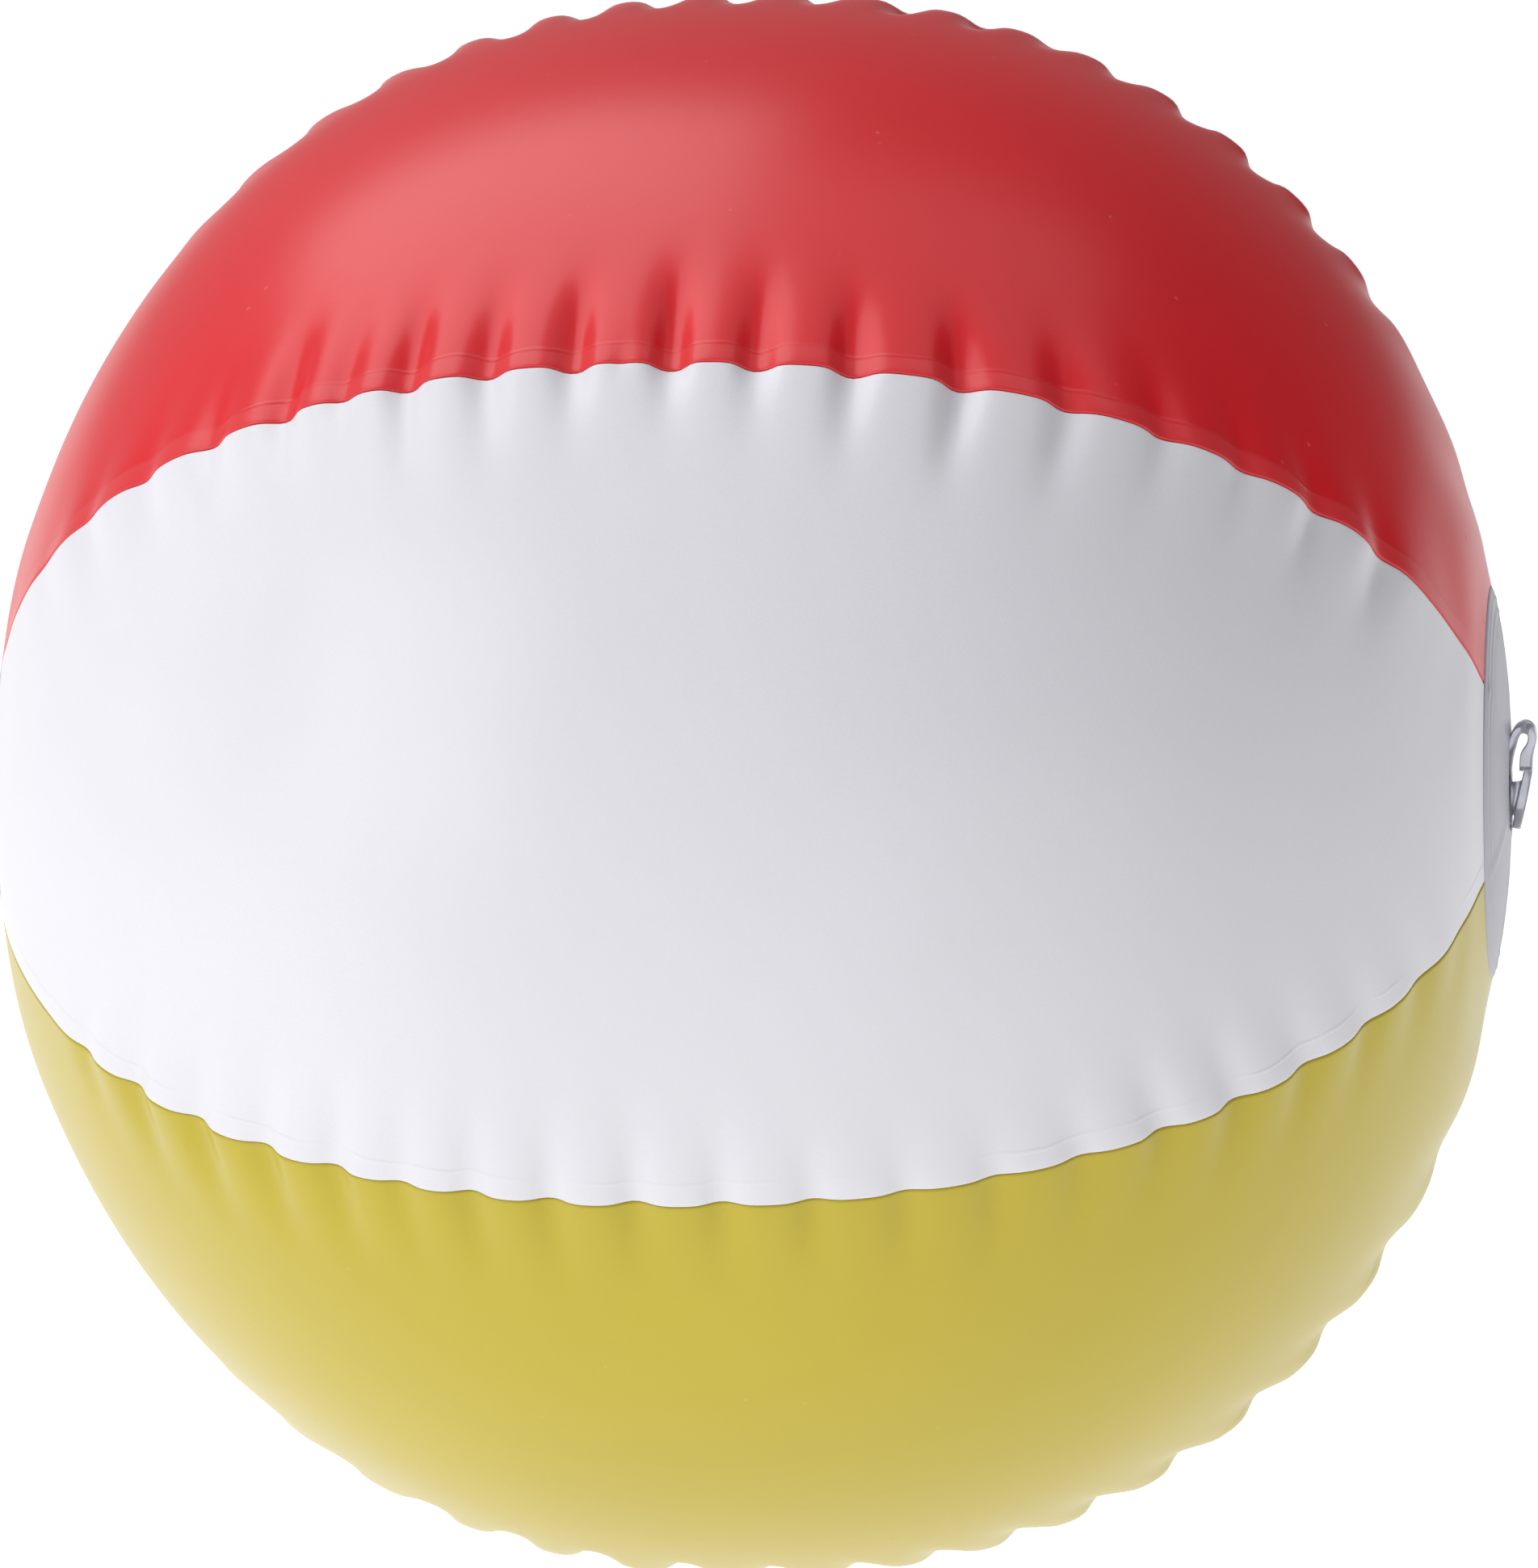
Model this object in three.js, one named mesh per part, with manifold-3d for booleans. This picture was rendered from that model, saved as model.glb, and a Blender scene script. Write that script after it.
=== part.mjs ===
// An inflatable beach ball: six welded film gores, two pole discs and a moulded push-in valve.
// Millimetres, +Z up. The polar axis is X, the valve is at +X, and the front white gore faces -Y.
import * as THREE from "three";
import { mergeVertices } from "three/addons/utils/BufferGeometryUtils.js";
import Module from "manifold-3d";

const wasm = await Module();
wasm.setup();

// The inflated skin
const EQUATOR_RADIUS = 140;
const POLE_RADIUS = 135;
const PROFILE_POWER = 2.15; // 2 is an ellipse; above 2 the poles are flatter
const GORES = 6;
const GORE_TURN = THREE.MathUtils.degToRad(6); // the front gore looks a little upwards
const FILM = 0.6; // wall of the solids that stand for the film
const GAP = 0.3; // between pieces that touch
const WELD_FIN = 4; // depth of the welded edges inside a seam
const GORE_STATIONS = 28;
const GORE_COLUMNS = 8;
const PLAIN_TIP_RADIUS = 6; // where the gores stop under the plain disc
const VALVE_TIP_RADIUS = 13.2; // where they stop around the valve's flange

// The pole discs
const DISC_RADIUS = 35;
const DISC_WALL = 0.4;
const DISC_RINGS = 5;
const DISC_SEGMENTS = GORES * GORE_COLUMNS;
const VALVE_HOLE_RADIUS = 8.6;
const POLE_FLAT_RADIUS = 7; // inside this the plain pole is flat

// The valve, pushed in. Its neck sags below the polar axis.
const NECK_DROP = 2.8;
const FLANGE_RADIUS = 12.5;
const FLANGE_TOP = 134.6;
const FLANGE_THICKNESS = 1.2;
const WEB_WALL = 0.5;
const WEB_FOOT = 127.3; // height on X where the web meets the neck
const NECK_OUTER_RADIUS = 4.7;
const NECK_BORE_RADIUS = 3.5;
const NECK_MOUTH = 135.4;
const NECK_LENGTH = 16.4;
const FLAP_RADIUS = 4.6;
const FLAP_THICKNESS = 0.8;
const ROUND_SEGMENTS = 24;

// The plug and its strap
const HEAD_RADIUS = 5.4;
const HEAD_THICKNESS = 1.7;
const HEAD_FOOT = 137; // height on X of the head's underside, at its centre
const HEAD_TILT = THREE.MathUtils.degToRad(12);
const HEAD_EDGE = 0.4;
const PLUG_RADIUS = 3.1;
const PLUG_NOSE_RADIUS = 1.9;
const PLUG_LENGTH = 6.2;
const STRAP_WIDTH = 5;
const STRAP_THICKNESS = 1.5;
const BIGHT_X = 137.4; // the living hinge at the top of the strap's loop
const BIGHT_Z = 9.6;

const FILM_ROUGHNESS = 0.35;
const COLOURS = {
  white: 0xe9e9ee,
  red: 0xc4161f,
  blue: 0x1747a6,
  yellow: 0xd9b63a,
  clear: 0xc9d4dc,
};

function film(colour) {
  return new THREE.MeshStandardMaterial({ color: COLOURS[colour], roughness: FILM_ROUGHNESS, metalness: 0 });
}

function clearPlastic() {
  return new THREE.MeshStandardMaterial({
    color: COLOURS.clear,
    roughness: 0.25,
    metalness: 0,
    transparent: true,
    opacity: 0.6,
  });
}

function named(name, geometry, material) {
  const mesh = new THREE.Mesh(geometry, material);
  mesh.name = name;
  return mesh;
}

// A point of the skin's profile, x along the polar axis and r away from it, with its outward normal.
function profileAt(angle) {
  const power = 2 / PROFILE_POWER;
  const x = POLE_RADIUS * Math.sign(Math.sin(angle)) * Math.abs(Math.sin(angle)) ** power;
  const r = EQUATOR_RADIUS * Math.cos(angle) ** power;
  const slopeX = Math.sign(x) * (Math.abs(x) / POLE_RADIUS) ** (PROFILE_POWER - 1) / POLE_RADIUS;
  const slopeR = (r / EQUATOR_RADIUS) ** (PROFILE_POWER - 1) / EQUATOR_RADIUS;
  const length = Math.hypot(slopeX, slopeR);
  return { x, r, nx: slopeX / length, nr: slopeR / length };
}

// The profile's angle where the skin is this far from the polar axis, on the +X side.
function angleAtRadius(r) {
  return Math.acos((r / EQUATOR_RADIUS) ** (PROFILE_POWER / 2));
}

// A closed geometry from points and from quads, each a list of four point numbers in outward order.
function fromQuads(points, quads) {
  const geometry = new THREE.BufferGeometry();
  geometry.setAttribute("position", new THREE.Float32BufferAttribute(points.flat(), 3));
  geometry.setIndex(quads.flatMap(([a, b, c, d]) => [a, b, c, a, c, d]));
  return geometry;
}

// A curved wall between two grids of points, rows along one way and columns along the other.
function wallBetween(outer, inner) {
  const rows = outer.length;
  const columns = outer[0].length;
  const points = [...outer.flat(), ...inner.flat()];
  const out = (i, j) => i * columns + j;
  const back = (i, j) => rows * columns + i * columns + j;
  const quads = [];
  for (let i = 0; i + 1 < rows; i += 1) {
    for (let j = 0; j + 1 < columns; j += 1) {
      quads.push([out(i, j), out(i + 1, j), out(i + 1, j + 1), out(i, j + 1)]);
      quads.push([back(i, j), back(i, j + 1), back(i + 1, j + 1), back(i + 1, j)]);
    }
    const last = columns - 1;
    quads.push([out(i, 0), back(i, 0), back(i + 1, 0), out(i + 1, 0)]);
    quads.push([out(i, last), out(i + 1, last), back(i + 1, last), back(i, last)]);
  }
  for (let j = 0; j + 1 < columns; j += 1) {
    const last = rows - 1;
    quads.push([out(0, j), out(0, j + 1), back(0, j + 1), back(0, j)]);
    quads.push([out(last, j), back(last, j), back(last, j + 1), out(last, j + 1)]);
  }
  return fromQuads(points, quads);
}

// One gore: a slice of the skin between two seams, with both long edges turned in as weld fins.
function goreGeometry() {
  const start = -angleAtRadius(PLAIN_TIP_RADIUS);
  const end = angleAtRadius(VALVE_TIP_RADIUS);
  const outer = [];
  const inner = [];
  for (let i = 0; i <= GORE_STATIONS; i += 1) {
    const share = i / GORE_STATIONS;
    const at = profileAt(THREE.MathUtils.lerp(start, end, share));
    const point = (angle, depth) => {
      const r = at.r - depth * at.nr;
      return [at.x - depth * at.nx, -r * Math.cos(angle), r * Math.sin(angle)];
    };
    const edge = Math.PI / GORES - GAP / 2 / at.r;
    const wall = FILM / at.r;
    const fin = FILM + (WELD_FIN - FILM) * Math.min(1, 4 * share * (1 - share) + 0.1);
    const outerRow = [point(-edge, fin)];
    const innerRow = [point(-edge + wall, fin)];
    for (let j = 0; j <= GORE_COLUMNS; j += 1) {
      const angle = THREE.MathUtils.lerp(-edge, edge, j / GORE_COLUMNS);
      outerRow.push(point(angle, 0));
      innerRow.push(point(THREE.MathUtils.clamp(angle, -edge + wall, edge - wall), FILM));
    }
    outerRow.push(point(edge, fin));
    innerRow.push(point(edge - wall, fin));
    outer.push(outerRow);
    inner.push(innerRow);
  }
  return wallBetween(outer, inner);
}

function addGores(ball) {
  const panels = [
    ["white_panel_front", "white"],
    ["red_panel", "red"],
    ["white_panel_upper_back", "white"],
    ["blue_panel", "blue"],
    ["white_panel_lower_back", "white"],
    ["yellow_panel", "yellow"],
  ];
  panels.forEach(([name, colour], k) => {
    const panel = named(name, goreGeometry(), film(colour));
    panel.rotation.x = -(GORE_TURN + (k * 2 * Math.PI) / GORES);
    ball.add(panel);
  });
}

// A disc of film that lies on the gore tips: the skin's profile, a gap out, from a hole to its edge.
// A disc with no hole is flat in its middle.
function discGeometry(holeRadius) {
  const profile = [];
  const addRing = (radius, lift) => {
    const at = profileAt(angleAtRadius(Math.max(radius, POLE_FLAT_RADIUS)));
    const r = radius === 0 ? 0 : at.r + lift * at.nr;
    profile.push(new THREE.Vector2(r, at.x + lift * at.nx));
  };
  for (let i = DISC_RINGS; i >= 0; i -= 1) {
    addRing(THREE.MathUtils.lerp(holeRadius, DISC_RADIUS, i / DISC_RINGS), GAP);
  }
  profile.reverse();
  for (let i = DISC_RINGS; i >= 0; i -= 1) {
    addRing(THREE.MathUtils.lerp(holeRadius, DISC_RADIUS, i / DISC_RINGS), GAP + DISC_WALL);
  }
  if (holeRadius > 0) {
    profile.push(profile[0].clone());
  }
  return new THREE.LatheGeometry(profile, DISC_SEGMENTS);
}

function addDiscs(ball) {
  const valveDisc = named("pole_disc_valve", discGeometry(VALVE_HOLE_RADIUS), film("white"));
  valveDisc.rotation.z = -Math.PI / 2;
  const plainDisc = named("pole_disc_plain", discGeometry(0), film("white"));
  plainDisc.rotation.z = Math.PI / 2;
  const turned = new THREE.Group();
  turned.rotation.x = -GORE_TURN;
  turned.add(valveDisc, plainDisc);
  ball.add(turned);
}

// A ring about the X axis from its closed section of [x, r, drop] corners. Each corner's circle
// may be dropped by its own amount, so that the ring can run from one centre to another.
function ringGeometry(section, segments = ROUND_SEGMENTS) {
  const points = [];
  const quads = [];
  section.forEach(([x, r, drop = 0]) => {
    for (let k = 0; k < segments; k += 1) {
      const angle = (2 * Math.PI * k) / segments;
      points.push([x, -r * Math.cos(angle), r * Math.sin(angle) - drop]);
    }
  });
  section.forEach((_, i) => {
    const here = i * segments;
    const next = ((i + 1) % section.length) * segments;
    for (let k = 0; k < segments; k += 1) {
      const turn = (k + 1) % segments;
      quads.push([here + k, here + turn, next + turn, next + k]);
    }
  });
  return fromQuads(points, quads);
}

function flangeGeometry() {
  const foot = FLANGE_TOP - FLANGE_THICKNESS;
  return ringGeometry([
    [foot, VALVE_HOLE_RADIUS],
    [FLANGE_TOP, VALVE_HOLE_RADIUS],
    [FLANGE_TOP, FLANGE_RADIUS],
    [foot, FLANGE_RADIUS],
  ]);
}

// The thin folding skirt from the flange down to the neck's waist.
function webGeometry() {
  const top = FLANGE_TOP - FLANGE_THICKNESS - GAP;
  const foot = NECK_OUTER_RADIUS + GAP;
  const wide = VALVE_HOLE_RADIUS + WEB_WALL;
  return ringGeometry([
    [WEB_FOOT, foot, NECK_DROP],
    [top, VALVE_HOLE_RADIUS],
    [top, wide],
    [WEB_FOOT - WEB_WALL, foot + WEB_WALL, NECK_DROP],
    [WEB_FOOT - WEB_WALL, foot, NECK_DROP],
  ]);
}

function neckGeometry() {
  const end = NECK_MOUTH - NECK_LENGTH;
  return ringGeometry([
    [end, NECK_BORE_RADIUS],
    [NECK_MOUTH, NECK_BORE_RADIUS],
    [NECK_MOUTH, NECK_OUTER_RADIUS],
    [end, NECK_OUTER_RADIUS],
  ]);
}

// A solid turned about its own Y axis, from the [radius, height] corners of its profile.
function turnedGeometry(corners, segments = ROUND_SEGMENTS) {
  return new THREE.LatheGeometry(corners.map(([r, y]) => new THREE.Vector2(r, y)), segments);
}

function flapGeometry() {
  return turnedGeometry([
    [0, 0],
    [FLAP_RADIUS, 0],
    [FLAP_RADIUS, FLAP_THICKNESS],
    [0, FLAP_THICKNESS],
  ]);
}

function solidOf(geometry) {
  const bare = geometry.clone();
  bare.deleteAttribute("normal");
  bare.deleteAttribute("uv");
  const merged = mergeVertices(bare, 1e-4);
  const vertProperties = new Float32Array(merged.attributes.position.array);
  const triVerts = new Uint32Array(merged.index.array);
  return new wasm.Manifold(new wasm.Mesh({ numProp: 3, vertProperties, triVerts }));
}

function geometryOf(solid) {
  const mesh = solid.getMesh();
  const geometry = new THREE.BufferGeometry();
  geometry.setAttribute("position", new THREE.BufferAttribute(mesh.vertProperties, 3));
  geometry.setIndex(new THREE.BufferAttribute(mesh.triVerts, 1));
  return geometry;
}

// The stopper: a tapered shank with a round nose, and a head that its strap holds tilted.
// It is turned about Y with the head at the top, and centred where the shank meets the head.
function plugGeometry() {
  const head = turnedGeometry([
    [0, 0],
    [HEAD_RADIUS - HEAD_EDGE, 0],
    [HEAD_RADIUS, HEAD_EDGE],
    [HEAD_RADIUS, HEAD_THICKNESS - HEAD_EDGE],
    [HEAD_RADIUS - HEAD_EDGE, HEAD_THICKNESS],
    [0, HEAD_THICKNESS],
  ]);
  head.rotateX(-HEAD_TILT);
  const nose = new THREE.QuadraticBezierCurve(
    new THREE.Vector2(PLUG_NOSE_RADIUS, -PLUG_LENGTH),
    new THREE.Vector2(PLUG_RADIUS, -0.75 * PLUG_LENGTH),
    new THREE.Vector2(PLUG_RADIUS, -0.3 * PLUG_LENGTH),
  );
  const side = nose.getPoints(5).map(({ x, y }) => [x, y]);
  const shank = turnedGeometry([
    [0, -PLUG_LENGTH],
    ...side,
    [PLUG_RADIUS, HEAD_THICKNESS / 2],
    [0, HEAD_THICKNESS / 2],
  ]);
  return geometryOf(solidOf(head).add(solidOf(shank)));
}

// A flat strap whose middle line is a list of [x, z] points, as wide as STRAP_WIDTH across Y.
function strapGeometry(points) {
  const line = points.map(([x, z]) => new THREE.Vector2(x, z));
  const half = STRAP_THICKNESS / 2;
  const left = [];
  const right = [];
  line.forEach((at, i) => {
    const before = line[Math.max(0, i - 1)];
    const after = line[Math.min(line.length - 1, i + 1)];
    const along = after.clone().sub(before).normalize();
    const side = new THREE.Vector2(-along.y, along.x).multiplyScalar(half);
    left.push(at.clone().add(side));
    right.push(at.clone().sub(side));
  });
  const outline = new THREE.Shape([...left, ...right.reverse()]);
  const geometry = new THREE.ExtrudeGeometry(outline, { depth: STRAP_WIDTH, bevelEnabled: false });
  geometry.translate(0, 0, -STRAP_WIDTH / 2);
  geometry.rotateX(Math.PI / 2);
  return geometry;
}

// The strap's half that stays with the neck: from its rim, out over the disc, to the bight.
function lowerStrapGeometry() {
  const root = NECK_OUTER_RADIUS + GAP - NECK_DROP;
  return strapGeometry([
    [NECK_MOUTH - STRAP_THICKNESS / 2, root],
    [NECK_MOUTH - STRAP_THICKNESS / 2, root + 0.8],
    [NECK_MOUTH + 0.8, root + 2.4],
    [BIGHT_X - 0.4, root + 4.4],
    [BIGHT_X - 0.2, BIGHT_Z - 1],
    [BIGHT_X, BIGHT_Z + 0.6],
  ]);
}

// The half that stays with the plug: from the bight, back down to the tilted head's high edge.
function upperStrapGeometry() {
  const start = BIGHT_X + STRAP_THICKNESS + GAP;
  const reach = HEAD_RADIUS + GAP;
  const edgeX = HEAD_FOOT + HEAD_THICKNESS / 2 + reach * Math.sin(HEAD_TILT);
  const edgeZ = reach * Math.cos(HEAD_TILT) - NECK_DROP;
  return strapGeometry([
    [start, BIGHT_Z + 0.5],
    [start + 0.1, BIGHT_Z - 2],
    [start - 0.1, BIGHT_Z - 4.5],
    [edgeX, edgeZ],
  ]);
}

// Turns a solid's own Y axis to X and puts it on the neck's axis, at this height on X.
function onNeckAxis(mesh, x) {
  mesh.rotation.z = -Math.PI / 2;
  mesh.position.set(x, 0, -NECK_DROP);
  return mesh;
}

function addValve(ball) {
  ball.add(named("valve_flange", flangeGeometry(), clearPlastic()));
  ball.add(named("valve_web", webGeometry(), clearPlastic()));
  const neck = named("valve_neck", neckGeometry(), clearPlastic());
  neck.position.z = -NECK_DROP;
  ball.add(neck);
  const flapX = NECK_MOUTH - NECK_LENGTH - GAP - FLAP_THICKNESS;
  ball.add(onNeckAxis(named("check_flap", flapGeometry(), clearPlastic()), flapX));
  ball.add(onNeckAxis(named("valve_plug", plugGeometry(), clearPlastic()), HEAD_FOOT));
  ball.add(named("plug_strap_lower", lowerStrapGeometry(), clearPlastic()));
  ball.add(named("plug_strap_upper", upperStrapGeometry(), clearPlastic()));
}

const ball = new THREE.Group();
addGores(ball);
addDiscs(ball);
addValve(ball);

export default ball;
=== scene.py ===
"""Builds the visible pieces of an inflatable beach ball around its packed frame.

The ball is six welded film gores between two pole discs, with a moulded push-in valve at +X.
Lengths are in metres, apart from the film simulation, which works in millimetres and newtons.
An angle round the ball runs from the front, -Y, over the top, +Z.
"""

import math

import bpy
import numpy as np
from bpy.props import (
    FloatProperty,
    FloatVectorProperty,
    IntProperty,
    PointerProperty,
)
from mathutils import Matrix, Vector


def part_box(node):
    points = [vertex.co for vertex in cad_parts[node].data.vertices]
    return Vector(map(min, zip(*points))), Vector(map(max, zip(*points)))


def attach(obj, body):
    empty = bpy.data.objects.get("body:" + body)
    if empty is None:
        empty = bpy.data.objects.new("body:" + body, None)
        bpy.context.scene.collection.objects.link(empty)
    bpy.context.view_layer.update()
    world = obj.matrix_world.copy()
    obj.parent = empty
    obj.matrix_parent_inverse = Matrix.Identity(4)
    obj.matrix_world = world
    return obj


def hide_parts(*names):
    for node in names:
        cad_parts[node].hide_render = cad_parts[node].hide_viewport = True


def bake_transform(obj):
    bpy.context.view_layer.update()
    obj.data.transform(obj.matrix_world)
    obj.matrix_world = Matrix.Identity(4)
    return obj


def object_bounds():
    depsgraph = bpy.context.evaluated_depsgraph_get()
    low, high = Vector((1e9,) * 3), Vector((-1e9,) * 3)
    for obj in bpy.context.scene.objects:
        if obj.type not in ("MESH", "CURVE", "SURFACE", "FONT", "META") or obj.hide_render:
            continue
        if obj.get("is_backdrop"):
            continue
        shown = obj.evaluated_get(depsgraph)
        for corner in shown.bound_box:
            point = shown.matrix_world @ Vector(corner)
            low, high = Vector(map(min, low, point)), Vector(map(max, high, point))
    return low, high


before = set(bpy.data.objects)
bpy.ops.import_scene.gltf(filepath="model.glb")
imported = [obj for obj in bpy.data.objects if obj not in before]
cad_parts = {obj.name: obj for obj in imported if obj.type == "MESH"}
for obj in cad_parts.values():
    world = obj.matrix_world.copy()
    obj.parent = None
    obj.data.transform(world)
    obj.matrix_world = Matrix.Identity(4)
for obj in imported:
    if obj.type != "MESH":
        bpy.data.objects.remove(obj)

bl_info = {
    "name": "Inflatable Beach Ball",
    "version": (1, 0, 0),
    "blender": (4, 5, 0),
    "location": "View3D > Sidebar > Beach Ball",
    "description": "Makes the gored film ball, its pole discs and its push-in valve on the frame",
    "category": "Object",
}

# ---------------------------------------------------------------------------------------------
# The frame's own sizes
# ---------------------------------------------------------------------------------------------

MM = 0.001

GORES = 6
GORE_TURN = math.radians(6)
HALF_GORE = math.pi / GORES
PROFILE_POWER = 2.15

# Each gore's node, its colour and the turn number of its middle line.
PANELS = (
    ("white_panel_front", "white"),
    ("red_panel", "red"),
    ("white_panel_upper_back", "white"),
    ("blue_panel", "blue"),
    ("white_panel_lower_back", "white"),
    ("yellow_panel", "yellow"),
)


def corners(node):
    """A node's lowest and highest corner as arrays."""
    low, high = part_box(node)
    return np.array(low), np.array(high)


PANEL_LOWS, PANEL_HIGHS = zip(*(corners(node) for node, _ in PANELS))
EQUATOR_RADIUS = round(float(np.max(PANEL_HIGHS, axis=0)[2]), 3)
POLE_RADIUS = round(-float(np.min(PANEL_LOWS, axis=0)[0]), 3)

DISC_RADIUS = round(float(corners("pole_disc_plain")[1][1]), 3)
FLANGE_LOW, FLANGE_HIGH = corners("valve_flange")
WEB_LOW, WEB_HIGH = corners("valve_web")
NECK_LOW, NECK_HIGH = corners("valve_neck")
FLAP_LOW, FLAP_HIGH = corners("check_flap")
PLUG_LOW, PLUG_HIGH = corners("valve_plug")
STRAP_LOW, STRAP_HIGH = corners("plug_strap_lower")

NECK_AXIS_Z = float(NECK_LOW[2] + NECK_HIGH[2]) / 2
NECK_RADIUS = float(NECK_HIGH[2] - NECK_LOW[2]) / 2
NECK_BORE = NECK_RADIUS - 1.2 * MM
FLANGE_RADIUS = float(FLANGE_HIGH[2])
WEB_RADIUS = float(WEB_HIGH[2])
VALVE_HOLE_RADIUS = WEB_RADIUS - 0.5 * MM
STRAP_WIDTH = float(STRAP_HIGH[1] - STRAP_LOW[1])
HEAD_RADIUS = float(PLUG_HIGH[1])


# ---------------------------------------------------------------------------------------------
# Settings
# ---------------------------------------------------------------------------------------------


def length(name, description, default):
    """A length setting in metres."""
    return FloatProperty(name=name, description=description, default=default, unit="LENGTH", precision=5)


def number(name, description, default):
    """A plain number setting."""
    return FloatProperty(name=name, description=description, default=default, precision=4)


def turn(name, description, degrees):
    """An angle setting, whose default is given in degrees."""
    default = math.radians(degrees)
    return FloatProperty(name=name, description=description, default=default, subtype="ANGLE")


def colour(name, description, default):
    """A colour setting in linear light."""
    return FloatVectorProperty(
        name=name, description=description, default=default, size=3, subtype="COLOR", min=0, max=1
    )


class FilmSettings(bpy.types.PropertyGroup):
    """The film of the gores and discs."""

    thickness: length("Film thickness", "Wall of the film", 0.25 * MM)
    fin: length("Weld fin", "Depth of the welded edges inside a seam", 3.6 * MM)
    roll: length("Seam roll", "How far from the seam the film starts to turn in", 0.6 * MM)
    lobe: length("Gore flattening", "How far a gore's middle lies below its seams", 2.6 * MM)
    seam_lift: length("Seam lift", "How far the seams stand above the frame's outline", 0.7 * MM)
    pucker: number("Pucker strength", "Scale of the simulated puckers, 1 as simulated", 1.3)
    seam_hold: number("Seam hold", "Share of the sideways waves that the weld's own stiffness takes out", 0.6)
    crease: number("Crease", "How much sharper the valleys are than the hills, 0 to 0.5", 0.32)
    white: colour("White", "Colour of the white gores", (0.74, 0.735, 0.785))
    red: colour("Red", "Colour of the red gore", (0.70, 0.014, 0.021))
    blue: colour("Blue", "Colour of the blue gore", (0.018, 0.085, 0.40))
    yellow: colour("Yellow", "Colour of the yellow gore", (0.51, 0.41, 0.026))
    # Painted shade: the discs' whitish film is given a darker grey lavender, which stands in for the shade on
    # them
    disc: colour("Discs", "Colour of the pole discs", (0.47, 0.455, 0.52))


class AirSettings(bpy.types.PropertyGroup):
    """The simulation that inflates the film, in millimetres and newtons."""

    pressure: number("Pressure", "Air pressure in newtons per square millimetre", 0.0012)
    stiffness: number("Film stiffness", "Young's modulus times thickness, in newtons per millimetre", 5.0)
    bending: number("Bending stiffness", "Plate stiffness of the film, in newton millimetres", 0.075)
    stretch: number("Stretch", "Share that the flat gores are smaller by than the blown-up ball", 0.01)
    gather: number("Gather", "Share by which the film's edges are longer than the seam they share", 0.008)
    slack: number("Uneven seams", "Share by which the lengths of the two welded edges vary", 0.014)
    steps: IntProperty(name="Steps", description="Steps of the simulation", default=2400)
    seed: IntProperty(name="Seed", description="Seed of the uneven start", default=3)


class ValveSettings(bpy.types.PropertyGroup):
    """The moulded valve."""

    head_tilt: turn("Head tilt", "How far the strap holds the plug's head tilted", 12)
    strap_thickness: length("Strap thickness", "Thickness of the plug's strap", 1.6 * MM)
    web_wall: length("Web wall", "Wall of the folding skirt", 0.45 * MM)
    clear: colour("Clear plastic", "Tint of the valve's clear plastic", (0.74, 0.75, 0.84))


class StageSettings(bpy.types.PropertyGroup):
    """Camera and light."""

    azimuth: turn("Azimuth", "Camera's turn towards the valve", 6.5)
    elevation: turn("Elevation", "Camera's height as an angle", 6)
    roll: turn("Roll", "Camera's turn about its own axis", 0.8)
    distance: length("Distance", "Camera's distance from the ball's centre", 13 * EQUATOR_RADIUS)
    lens: number("Lens", "Focal length in millimetres", 233.0)
    sideways: length("Aim", "How far towards the valve the camera aims", 2.4 * MM)


def settings():
    """The four groups of settings, as the scene holds them."""
    scene = bpy.context.scene
    return scene.ball_film, scene.ball_air, scene.ball_valve, scene.ball_stage


# ---------------------------------------------------------------------------------------------
# Curves and surfaces
# ---------------------------------------------------------------------------------------------


def smoothstep(values, start, end):
    """0 before start, 1 after end, and 3t² - 2t³ between them."""
    t = np.clip((np.asarray(values, float) - start) / (end - start), 0, 1)
    return t * t * (3 - 2 * t)


def cubic(values, at, axis=0):
    """Catmull-Rom values at fractional places along an axis; past the ends the values run straight on."""
    ends = (np.take(values, [0], axis), np.take(values, [1], axis))
    tails = (np.take(values, [-1], axis), np.take(values, [-2], axis))
    padded = np.concatenate([2 * ends[0] - ends[1], values, 2 * tails[0] - tails[1]], axis)
    count = values.shape[axis]
    whole = np.clip(np.floor(at).astype(int), 0, count - 2)
    t = at - whole

    def pick(step):
        places = whole + 1 + step
        if places.ndim == 1:
            return np.take(padded, places, axis)
        return np.take_along_axis(padded, places, axis)

    if t.ndim == 1:
        t = t.reshape([-1 if i == axis else 1 for i in range(values.ndim)])
    a, b, c, d = (pick(step) for step in (-1, 0, 1, 2))
    return b + 0.5 * t * (c - a + t * (2 * a - 5 * b + 4 * c - d + t * (3 * (b - c) + d - a)))


def through(points, count):
    """A smooth line of count points through a few chosen ones, a Catmull-Rom curve."""
    points = np.asarray(points, float)
    return cubic(points, np.linspace(0, len(points) - 1, count))


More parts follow.
